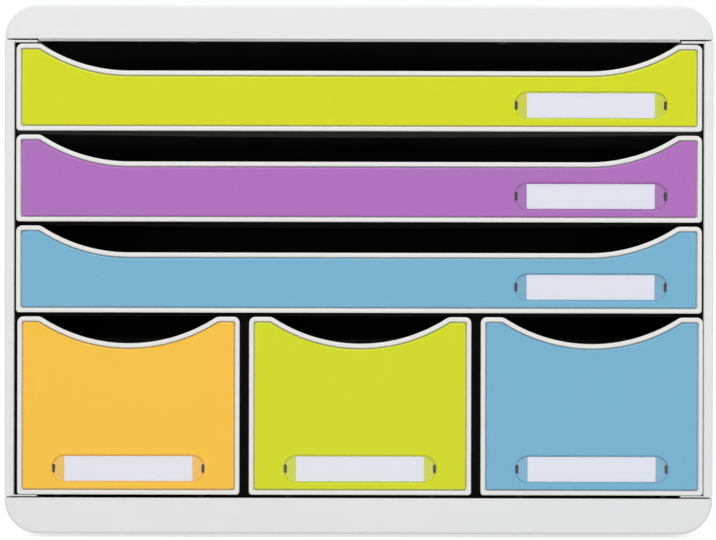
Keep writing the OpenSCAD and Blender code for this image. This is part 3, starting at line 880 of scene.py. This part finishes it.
# %% The top deck and its lugs
LUG_PLACES = (-84 * MM, 72 * MM)
LUG_W, LUG_H, LUG_T = 7.5 * MM, 1.5 * MM, 1.4 * MM
LUG_R = ((LUG_W / 2) ** 2 + LUG_H ** 2) / (2 * LUG_H)
LUG_EDGE_R, LUG_STEPS = 0.45 * MM, 32
DECK_CORNER_R = 1 * MM


def lug_outline(x):
    """The part of a disc from its lowest point up to a level line inside the plate."""
    def outline(inset):
        r = LUG_R - inset
        high = deck_high.z - deck_t / 3
        middle = cover_z - LUG_H + LUG_R
        reach = degrees(asin((high - middle) / r))
        return arc(x, middle, r, 180 - reach, 360 + reach, LUG_STEPS)
    return outline


shape = rectangle(deck_low.x, deck_low.y, deck_high.x, deck_high.y, DECK_CORNER_R, DECK_CORNER_R)
top_deck = plate("top_deck_plate", shape, facing_up(deck_high.z), deck_t - PANEL_RISE,
                 FINE_EDGE_R, FINE_EDGE_R)
lugs = [plate("lug", lug_outline(x), facing_front(deck_low.y), LUG_T, LUG_EDGE_R, FINE_EDGE_R)
        for x in LUG_PLACES]
combine(top_deck, lugs, "UNION")
finish_piece(top_deck, CASING, ["top_deck"], black_plastic)

# %% [markdown]
# The rest of the black inside is mostly dark gaps: two liners with grooves, the floor deck,
# three shelves and two dividers. Their CAD solids have the right shapes, so they stay as they
# are. A solid's own material is swapped for a black: the half-gloss black on the upper shelf
# and the floor, whose front edges catch a thin light, and on all the others the darker matt
# copy of it, which is painted shade.

# %% The black inside
INSIDE = ["left_liner", "right_liner", "floor_deck", "upper_shelf", "middle_shelf", "lower_shelf",
          "left_divider", "right_divider"]
HALF_GLOSS = ["floor_deck", "upper_shelf"]
# the pieces outside HALF_GLOSS get the painted shade black: the same plastic, darkened for the shade deep
# inside
for node in INSIDE:
    slots = frame["nodes"][node].data.materials
    slots.clear()
    slots.append(black_plastic if node in HALF_GLOSS else painted_shade_black)
print("black solids kept:", len(INSIDE))

# %% [markdown]
# ## Drawer trays
# A tray is an open box. Its walls have soft upper edges and round rear corners, its floor meets
# them in a small fillet, and its open front is closed by the front wall. One loft makes it
# whole: the rings go up the outside, over the rim of the walls, down the inside, and end on
# the floor. Then a cut takes the front away.

# %% A tray's box
WALL_EDGE_R = 0.7 * MM
FLOOR_FILLET = 1.5 * MM
TRAY_FLOOR = 1.8 * MM
TRAY_BOTTOM_R = 0.8 * MM


def tray_steps(floor, high):
    """Pairs of inset and height: up the outside, over the wall's edge, and down the inside."""
    up = turns(WALL_EDGE_R)
    bottom = [(TRAY_BOTTOM_R * (1 - sin(a)), TRAY_BOTTOM_R * (1 - cos(a))) for a in up]
    outer = [(WALL_EDGE_R * (1 - cos(a)), high - WALL_EDGE_R * (1 - sin(a))) for a in up]
    inner = [(TRAY_T - WALL_EDGE_R * (1 - sin(a)), high - WALL_EDGE_R * (1 - cos(a))) for a in up]
    fillet = [(TRAY_T + FLOOR_FILLET * (1 - cos(a)), floor + FLOOR_FILLET * (1 - sin(a))) for a in up]
    return bottom + outer + inner + fillet


def tray_box(name, f):
    x0, x1, y0, y1, z = f["tray_x0"], f["tray_x1"], f["back_y"], f["rear_y"], f["z"]
    front, past = y0 - 3 * TRAY_R, 5 * PAST
    shape = rectangle(x0, front, x1, y1, TRAY_R, TRAY_R)
    rings = [[(u, v, z + h) for u, v in shape(inset)] for inset, h in tray_steps(TRAY_FLOOR, f["wall_h"])]
    box = loft(name + "_tray_moulding", rings)
    return cut_off(box, (x0 - past, front - past, z - past), (x1 + past, y0, z + f["wall_h"] + past))


# %% [markdown]
# Two small things belong to each side wall. A hollowed ramp joins its upper edge to the front,
# where the hand pulls. A tab on its outside meets a stop on the casing, so that the drawer
# can't be pulled right out. Where the tab stands follows from how far the drawer slides.

# %% Ramps and stop tabs
STOP_SET, STOP_T, STOP_GAP = 8 * MM, 3 * MM, 0.3 * MM
TAB_LOW, TAB_HIGH = 4.8 * MM, 4 * MM
TAB_EDGE_R, RAMP_STEPS = 0.35 * MM, 16
TAB_SINK, RAMP_SINK = 0.8 * MM, 1.5 * MM
TRAVEL = {joint["child"]: joint["range_m"][1] for joint in frame["joints"]}


def ramp(f, x0, x1):
    """A ramp between two places on X, hollowed by an arc."""
    y, z = f["back_y"], f["z"] + f["wall_h"]
    side = [(y, z - RAMP_SINK), (y, z + GUSSET_R)]
    side += arc(y + GUSSET_R, z + GUSSET_R, GUSSET_R, 180, 270, RAMP_STEPS)[1:]
    side += [(y + GUSSET_R, z - RAMP_SINK)]
    return loft("ramp", [[(x, u, v) for u, v in side] for x in (x0, x1)])


def dress_tray(name, f):
    """A tray from its box, its two ramps and its two stop tabs."""
    tray = tray_box(name, f)
    body = BODY_OF[name]
    tab_y = liner_y + STOP_SET + STOP_T + STOP_GAP + TRAVEL[body]
    low, high = f["z"] + TAB_LOW, f["z"] + f["wall_h"] - TAB_HIGH
    x0, x1 = f["tray_x0"], f["tray_x1"]
    parts = [ramp(f, x0, x0 + TRAY_T), ramp(f, x1 - TRAY_T, x1)]
    parts += [bevelled(block("tab", (a, tab_y, low), (b, tab_y + STOP_T, high)), TAB_EDGE_R)
              for a, b in ((x0 - TAB_OUT, x0 + TAB_SINK), (x1 - TAB_SINK, x1 + TAB_OUT))]
    combine(tray, parts, "UNION")
    finish_piece(tray, body, [name + "_tray"], drawer_plastic)


for name, f in facts.items():
    dress_tray(name, f)

# %% [markdown]
# ## Drawer fronts
# The front is a wall with a rim round its face, and the rim is what gives these drawers their
# look: it follows the notch, and its round edge catches a bright line of light. The rim
# follows a path, so a tree makes it: it sweeps a rectangle with rounded corners along the
# outline. A plain sweep would pinch at the tight corners. So each point of the path carries
# the matching point of the inner outline too, and the tree lays the section between the two.

# %% A tree that lays a rim along a loop
start, add, close = start_tree("rim_on_loop", {
    "Width": "Float", "Depth": "Float", "Edge radius": "Float", "Material": "Material"})


def keep_fields(geometry, fields):
    """Captures vector fields on a curve's points, so that the swept mesh still knows them."""
    node = add("GeometryNodeCaptureAttribute", {"Geometry": geometry})
    for name, field in fields.items():
        node.capture_items.new("VECTOR", name)
        node.id_data.links.new(field, node.inputs[name])
    return node


place = add("GeometryNodeInputPosition").outputs["Position"]
inner = add("GeometryNodeInputNamedAttribute", {"Name": "inner"}, data_type="FLOAT_VECTOR")
rail = add("GeometryNodeMeshToCurve", {"Mesh": start.outputs["Geometry"]})
rail = keep_fields(rail.outputs["Curve"], {"outer": place, "inner": inner.outputs["Attribute"]})
section = add("GeometryNodeCurvePrimitiveQuadrilateral", {
    "Width": start.outputs["Width"], "Height": start.outputs["Depth"]})
section = add("GeometryNodeFilletCurve", {
    "Curve": section.outputs["Curve"], "Radius": start.outputs["Edge radius"], "Count": EDGE_STEPS,
}, mode="POLY")
section = keep_fields(section.outputs["Curve"], {"section": place})
swept = add("GeometryNodeCurveToMesh", {
    "Curve": rail.outputs["Geometry"], "Profile Curve": section.outputs["Geometry"]})
spot = add("ShaderNodeSeparateXYZ", {"Vector": section.outputs["section"]})
share = add("ShaderNodeMath", {0: spot.outputs["X"], 1: start.outputs["Width"]}, operation="DIVIDE")
share = add("ShaderNodeMath", {0: share.outputs[0], 1: 0.5}, operation="ADD")
half_depth = add("ShaderNodeMath", {0: start.outputs["Depth"], 1: 0.5}, operation="MULTIPLY")
behind = add("ShaderNodeMath", {0: spot.outputs["Y"], 1: half_depth.outputs[0]}, operation="ADD")
outer, inner = rail.outputs["outer"], rail.outputs["inner"]
across = add("ShaderNodeVectorMath", {0: inner, 1: outer}, operation="SUBTRACT")
across = add("ShaderNodeVectorMath", {0: across.outputs[0], "Scale": share.outputs[0]}, operation="SCALE")
laid = add("ShaderNodeVectorMath", {0: outer, 1: across.outputs[0]}, operation="ADD")
back = add("ShaderNodeCombineXYZ", {"Y": behind.outputs[0]})
rim_mesh = add("GeometryNodeSetPosition", {
    "Geometry": swept.outputs["Mesh"], "Position": laid.outputs[0], "Offset": back.outputs[0]})
rim_tree = close(rim_mesh.outputs["Geometry"])

# %% Front walls with their rims
RIM_EDGE_R, RIM_SINK = 0.6 * MM, 1 * MM
WALL_BACK_R = 0.5 * MM
SLOT_X, SLOT_W, SLOT_H, SLOT_R = 37.4 * MM, 1.5 * MM, 4.4 * MM, 0.6 * MM
PEG_R, PEG_GAP, PEG_POINTS = 1.5 * MM, 0.1 * MM, 32
PEGS = {"wide": [(x * MM, 24.4 * MM) for x in (-150, -50, 50, 150)],
        "small": [(x * MM, z * MM) for x in (-40, 40) for z in (23.5, 70.1)]}


def rim(name, f):
    """The rim round a front's face. Each point of its loop knows the matching point inside."""
    outer, inner = f["shape"](0), f["shape"](RIM_W)
    edges = [(i, (i + 1) % len(outer)) for i in range(len(outer))]
    loop = mesh_object(name, [(x, f["rim_y"], z) for x, z in outer], edges=edges)
    held = loop.data.attributes.new("inner", "FLOAT_VECTOR", "POINT")
    held.data.foreach_set("vector", [v for x, z in inner for v in (x, f["rim_y"], z)])
    return grow(loop, rim_tree, {"Width": RIM_W, "Depth": RIM_D + RIM_SINK, "Edge radius": RIM_EDGE_R,
                                 "Material": drawer_plastic})


def disc(x, z, r):
    return lambda inset: circle(x, z, r - inset, PEG_POINTS)


def pins(name, f, r, y, depth, back_r):
    """Round pins on a drawer's peg places: the panel's own pegs, or the cutters of their holes."""
    places = [(f["x"] + x, f["z"] + z) for x, z in PEGS[name.split("_")[0]]]
    return [plate("pin", disc(x, z, r), facing_front(y), depth, 0, back_r) for x, z in places]


def slot_cutters(f, y, depth):
    """Two narrow slots behind the ends of the label, which take the window's hooks."""
    cutters = []
    z0, z1 = f["label_z"] - SLOT_H / 2, f["label_z"] + SLOT_H / 2
    for x in (f["label_x"] - SLOT_X, f["label_x"] + SLOT_X):
        shape = rectangle(x - SLOT_W / 2, z0, x + SLOT_W / 2, z1, SLOT_R, SLOT_R)
        cutters.append(plate("slot", shape, facing_front(y), depth, 0, 0))
    return cutters


def dress_front(name, f):
    wall = plate(name + "_front_moulding", f["shape"], facing_front(f["wall_y"]), FRONT_T, 0, WALL_BACK_R)
    combine(wall, [rim(name + "_rim", f)], "UNION")
    cut_y, cut_depth = f["wall_y"] - PAST, FRONT_T + 2 * PAST
    holes = pins(name, f, PEG_R + PEG_GAP, cut_y, cut_depth, 0)
    combine(wall, slot_cutters(f, cut_y, cut_depth) + holes, "DIFFERENCE")
    finish_piece(wall, BODY_OF[name], [name + "_front"], drawer_plastic)


for name, f in facts.items():
    dress_front(name, f)

# %% [markdown]
# ## Coloured panels and labels
# The coloured panel drops into the rim and is held by pegs. It is a little thinner than the
# rim is deep, and half a millimetre narrower all round. So the rim stands out past it, and its
# own soft edge shows as a fine line beside a thin shadow. Near its lower edge it has a pocket
# with round ends for the label. The cutter flares at its mouth, so the pocket gets a soft edge
# as well, and its floor meets the wall in a small fillet.

# %% Coloured panels
COLOUR_EDGE_R, COLOUR_BACK_R = 0.9 * MM, 0.1 * MM
POCKET_L, POCKET_H, POCKET_D = 77 * MM, 14 * MM, 1.2 * MM
MOUTH_R, POCKET_FILLET = 0.4 * MM, 0.15 * MM
PEG_SINK, PEG_END_R = 0.4 * MM, 0.3 * MM


def pocket_cutter(f):
    """What the label's pocket takes out of a panel, from its flared mouth to its fillet."""
    shape = bar(f["label_x"], f["label_z"], POCKET_L, POCKET_H)
    steps = [(-MOUTH_R, -PAST)]
    steps += [(-MOUTH_R * (1 - sin(a)), MOUTH_R * (1 - cos(a))) for a in turns(MOUTH_R)]
    steps += [(POCKET_FILLET * (1 - cos(a)), POCKET_D - POCKET_FILLET * (1 - sin(a)))
              for a in turns(POCKET_FILLET)]
    return loft("pocket", [[(u, f["panel_y"] + d, v) for u, v in shape(inset)] for inset, d in steps])


def dress_panel(name, f):
    panel = plate(name + "_colour_moulding", lambda inset: f["shape"](PANEL_INSET + inset),
                  facing_front(f["panel_y"]), PANEL_T, COLOUR_EDGE_R, COLOUR_BACK_R)
    slots = slot_cutters(f, f["panel_y"] + POCKET_D / 2, PANEL_T)
    combine(panel, [pocket_cutter(f)] + slots, "DIFFERENCE")
    combine(panel, pins(name, f, PEG_R, f["wall_y"] - PEG_SINK, FRONT_T + PEG_SINK, PEG_END_R), "UNION")
    word = COLOUR_OF[name]
    finish_piece(panel, BODY_OF[name], [name + "_panel"], panel_plastics[word])


for name, f in facts.items():
    dress_panel(name, f)

# %% [markdown]
# The window is a thin clear bar with round ends. Behind each end a springy hook goes through
# the panel and the front wall, and a barb catches behind the wall. The label card lies loose
# on the pocket's floor. Between card and window I leave a tenth of a millimetre of air, because
# two faces in one plane flicker in a render.

# %% Windows and cards
WINDOW_GAP, WINDOW_T, AIR, WINDOW_BACK_R = 0.3 * MM, 0.7 * MM, 0.1 * MM, 0.1 * MM
HOOK_T, HOOK_H, HOOK_SINK = 0.8 * MM, 3.8 * MM, 0.2 * MM
BARB, BARB_GAP = 0.4 * MM, 0.1 * MM
HOOK_X = SLOT_X + SLOT_W / 2 - 0.15 * MM
CARD_CORNER_R, CARD_EDGE_R = 0.4 * MM, 0.05 * MM


def hook(f, side, y0):
    """A flat spring with a barb, drawn as X and Y and made as high as a hook."""
    catch = f["back_y"] + BARB_GAP
    end = catch + 2 * BARB
    outline = [(HOOK_X - HOOK_T, y0), (HOOK_X, y0), (HOOK_X, catch), (HOOK_X + BARB, catch), (HOOK_X, end),
               (HOOK_X - HOOK_T, end)]
    x, z = f["label_x"], f["label_z"]
    return loft("hook", [[(x + side * u, v, z + h) for u, v in outline] for h in (-HOOK_H / 2, HOOK_H / 2)])


def dress_label(name, f):
    body = BODY_OF[name]
    shape = bar(f["label_x"], f["label_z"], POCKET_L - 2 * WINDOW_GAP, POCKET_H - 2 * WINDOW_GAP)
    window = plate(name + "_label_window", shape, facing_front(f["window_y"]), WINDOW_T - AIR,
                   FINE_EDGE_R, WINDOW_BACK_R)
    root = f["window_y"] + WINDOW_T - AIR - HOOK_SINK
    combine(window, [hook(f, side, root) for side in (-1, 1)], "UNION")
    finish_piece(window, body, [name + "_window"], window_plastic)
    low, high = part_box(name + "_card")
    shape = rectangle(low.x, low.z, high.x, high.z, CARD_CORNER_R, CARD_CORNER_R)
    card = plate(name + "_label_card", shape, facing_front(low.y), high.y - low.y, CARD_EDGE_R, CARD_EDGE_R)
    finish_piece(card, body, [name + "_card"], label_paper)


for name, f in facts.items():
    dress_label(name, f)
